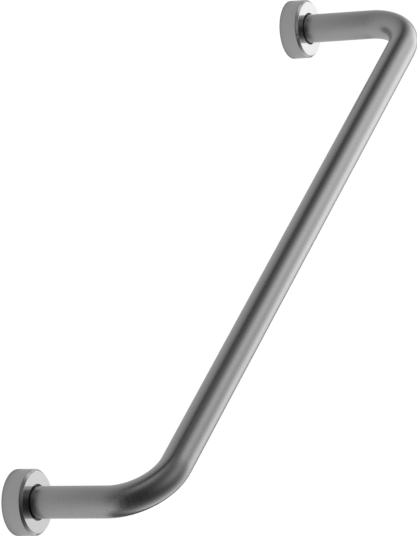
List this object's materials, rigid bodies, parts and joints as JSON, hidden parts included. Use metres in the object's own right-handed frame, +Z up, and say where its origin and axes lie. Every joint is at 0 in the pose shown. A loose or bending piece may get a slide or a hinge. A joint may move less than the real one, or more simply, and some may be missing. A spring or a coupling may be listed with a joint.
{
  "type": "cabinet handle",
  "caption": "Bow handle bent from round satin steel tube, both posts standing on turned round roses, screwed on from behind a door or drawer front.",
  "frame": {"origin": "midway between the two screw holes, on the face of the door or drawer front that both roses bear on", "axes": "+X along the grip, +Y into the door or drawer front so that -Y points to the hand, +Z up"},
  "size_m": [0.2764, 0.053, 0.0204],
  "materials": {
    "satin_tube": "satin ground, fine hairlines round the tube",
    "turned_rose": "fine turned, concentric marks",
    "plug_steel": "turned, left bare"
  },
  "bodies": {
    "root": {"grip_tube": "satin_tube", "rose_left": "turned_rose", "rose_right": "turned_rose", "plug_left": "plug_steel", "plug_right": "plug_steel"}
  },
  "joints": []
}
